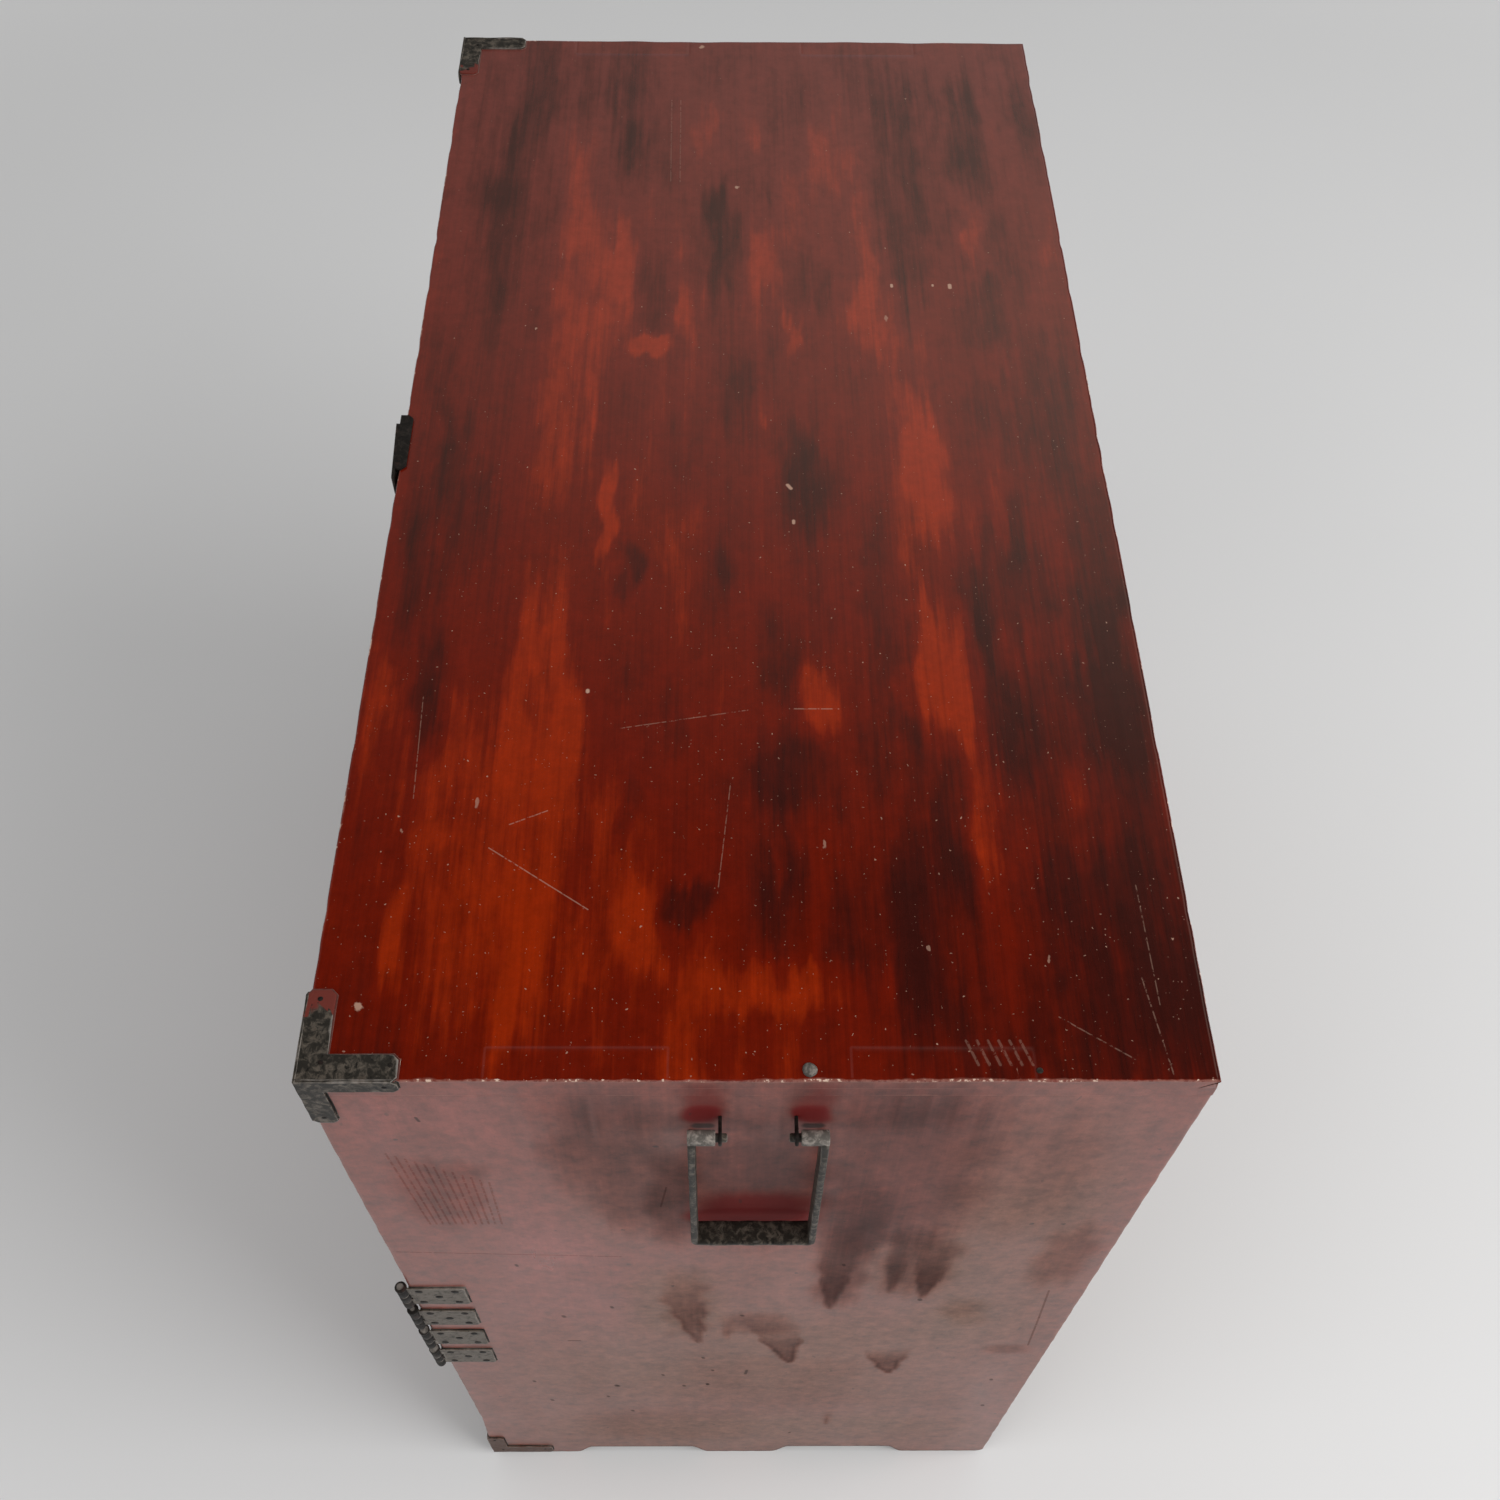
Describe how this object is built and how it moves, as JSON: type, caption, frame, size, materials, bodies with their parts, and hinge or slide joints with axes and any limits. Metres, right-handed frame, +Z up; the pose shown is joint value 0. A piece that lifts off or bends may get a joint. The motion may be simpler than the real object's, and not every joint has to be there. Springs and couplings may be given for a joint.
{
  "type": "ship chest",
  "caption": "Lacquered wooden sea chest with a box-jointed case, drawers, a hinged safe door, iron corner mounts and lifting handles.",
  "frame": {"origin": "on the floor, under the middle of the space the chest takes up with its handles", "axes": "+X along the length, towards the end with the safe; -Y the drawer front; +Z up"},
  "size_m": [0.9454, 0.4676, 0.8497],
  "materials": {
    "top_lacquer": "glossy red-brown lacquer over plain-sawn boards, worn at the edges",
    "side_lacquer": "semi-gloss red-brown lacquer, stained and scratched",
    "front_lacquer": "glossy red-brown lacquer with strong grain",
    "drawer_wood": "bare light softwood, aged",
    "case_wood": "bare brown softwood, aged",
    "wrought_iron": "hammered black iron, mottled",
    "rusted_iron": "hammered iron with brown rust"
  },
  "bodies": {
    "case": {"top_board": "top_lacquer", "right_side_board": "side_lacquer", "left_side_board": "side_lacquer", "floor_board": "case_wood", "front_apron": "front_lacquer", "back_board": "case_wood", "lower_shelf": "case_wood", "upper_shelf": "case_wood", "drawer_divider": "case_wood", "safe_partition": "case_wood", "top_right_corner_iron": "wrought_iron", "top_left_corner_iron": "wrought_iron", "bottom_right_corner_iron": "rusted_iron", "bottom_left_corner_iron": "rusted_iron", "lock_keeper": "wrought_iron", "right_handle_front_eye": "wrought_iron", "right_handle_rear_eye": "wrought_iron", "left_handle_front_eye": "wrought_iron", "left_handle_rear_eye": "wrought_iron", "hinge_1_case_leaf": "wrought_iron", "hinge_2_case_leaf": "wrought_iron", "hinge_3_case_leaf": "wrought_iron", "hinge_4_case_leaf": "wrought_iron"},
    "top_drawer": {"top_drawer_front": "front_lacquer", "top_drawer_left_side": "drawer_wood", "top_drawer_right_side": "drawer_wood", "top_drawer_back": "drawer_wood", "top_drawer_floor": "drawer_wood", "top_drawer_lock_plate": "wrought_iron", "top_drawer_left_pull_plate": "wrought_iron", "top_drawer_right_pull_plate": "wrought_iron"},
    "bottom_drawer": {"bottom_drawer_front": "front_lacquer", "bottom_drawer_left_side": "drawer_wood", "bottom_drawer_right_side": "drawer_wood", "bottom_drawer_back": "drawer_wood", "bottom_drawer_floor": "drawer_wood", "bottom_drawer_left_pull_plate": "wrought_iron", "bottom_drawer_right_pull_plate": "wrought_iron"},
    "upper_small_drawer": {"upper_small_drawer_front": "front_lacquer", "upper_small_drawer_tray": "drawer_wood", "upper_small_drawer_pull_plate": "wrought_iron"},
    "lower_small_drawer": {"lower_small_drawer_front": "front_lacquer", "lower_small_drawer_tray": "drawer_wood", "lower_small_drawer_pull_plate": "wrought_iron"},
    "safe_door": {"safe_door_board": "front_lacquer", "safe_door_lock_plate": "wrought_iron", "hinge_1_door_leaf": "wrought_iron", "hinge_2_door_leaf": "wrought_iron", "hinge_3_door_leaf": "wrought_iron", "hinge_4_door_leaf": "wrought_iron"},
    "top_drawer_bolt": {"top_drawer_bolt": "wrought_iron"},
    "safe_door_bolt": {"safe_door_bolt": "wrought_iron"},
    "right_handle": {"right_handle_bail": "wrought_iron"},
    "left_handle": {"left_handle_bail": "wrought_iron"},
    "top_drawer_left_pull_bail": {"top_drawer_left_pull_bail": "wrought_iron"},
    "top_drawer_right_pull_bail": {"top_drawer_right_pull_bail": "wrought_iron"},
    "bottom_drawer_left_pull_bail": {"bottom_drawer_left_pull_bail": "wrought_iron"},
    "bottom_drawer_right_pull_bail": {"bottom_drawer_right_pull_bail": "wrought_iron"},
    "upper_small_drawer_pull_bail": {"upper_small_drawer_pull_bail": "wrought_iron"},
    "lower_small_drawer_pull_bail": {"lower_small_drawer_pull_bail": "wrought_iron"}
  },
  "joints": [
    {"name": "top_drawer_slide", "type": "slide", "parent": "case", "child": "top_drawer", "axis": [0, -1, 0], "range_m": [0, 0.34]},
    {"name": "bottom_drawer_slide", "type": "slide", "parent": "case", "child": "bottom_drawer", "axis": [0, -1, 0], "range_m": [0, 0.34]},
    {"name": "upper_small_drawer_slide", "type": "slide", "parent": "case", "child": "upper_small_drawer", "axis": [0, -1, 0], "range_m": [0, 0.34]},
    {"name": "lower_small_drawer_slide", "type": "slide", "parent": "case", "child": "lower_small_drawer", "axis": [0, -1, 0], "range_m": [0, 0.34]},
    {"name": "safe_door_swing", "type": "hinge", "parent": "case", "child": "safe_door", "pos_m": [0.4554, -0.22445, 0.42], "axis": [0, 0, 1], "range_deg": [0, 260]},
    {"name": "top_drawer_bolt_slide", "type": "slide", "parent": "top_drawer", "child": "top_drawer_bolt", "axis": [0, 0, 1], "range_m": [0, 0.008]},
    {"name": "safe_door_bolt_slide", "type": "slide", "parent": "safe_door", "child": "safe_door_bolt", "axis": [-1, 0, 0], "range_m": [0, 0.008]},
    {"name": "right_handle_swing", "type": "hinge", "parent": "case", "child": "right_handle", "pos_m": [0.4655, 0.00675, 0.802], "axis": [0, -1, 0], "range_deg": [0, 160]},
    {"name": "left_handle_swing", "type": "hinge", "parent": "case", "child": "left_handle", "pos_m": [-0.4655, 0.00675, 0.802], "axis": [0, 1, 0], "range_deg": [0, 160]},
    {"name": "top_drawer_left_pull_swing", "type": "hinge", "parent": "top_drawer", "child": "top_drawer_left_pull_bail", "pos_m": [-0.23, -0.22975, 0.706], "axis": [-1, 0, 0], "range_deg": [0, 160]},
    {"name": "top_drawer_right_pull_swing", "type": "hinge", "parent": "top_drawer", "child": "top_drawer_right_pull_bail", "pos_m": [0.23, -0.22975, 0.706], "axis": [-1, 0, 0], "range_deg": [0, 160]},
    {"name": "bottom_drawer_left_pull_swing", "type": "hinge", "parent": "bottom_drawer", "child": "bottom_drawer_left_pull_bail", "pos_m": [-0.23, -0.22975, 0.183], "axis": [-1, 0, 0], "range_deg": [0, 160]},
    {"name": "bottom_drawer_right_pull_swing", "type": "hinge", "parent": "bottom_drawer", "child": "bottom_drawer_right_pull_bail", "pos_m": [0.23, -0.22975, 0.183], "axis": [-1, 0, 0], "range_deg": [0, 160]},
    {"name": "upper_small_drawer_pull_swing", "type": "hinge", "parent": "upper_small_drawer", "child": "upper_small_drawer_pull_bail", "pos_m": [-0.1385, -0.22975, 0.49725], "axis": [-1, 0, 0], "range_deg": [0, 160]},
    {"name": "lower_small_drawer_pull_swing", "type": "hinge", "parent": "lower_small_drawer", "child": "lower_small_drawer_pull_bail", "pos_m": [-0.1385, -0.22975, 0.36675], "axis": [-1, 0, 0], "range_deg": [0, 160]}
  ]
}
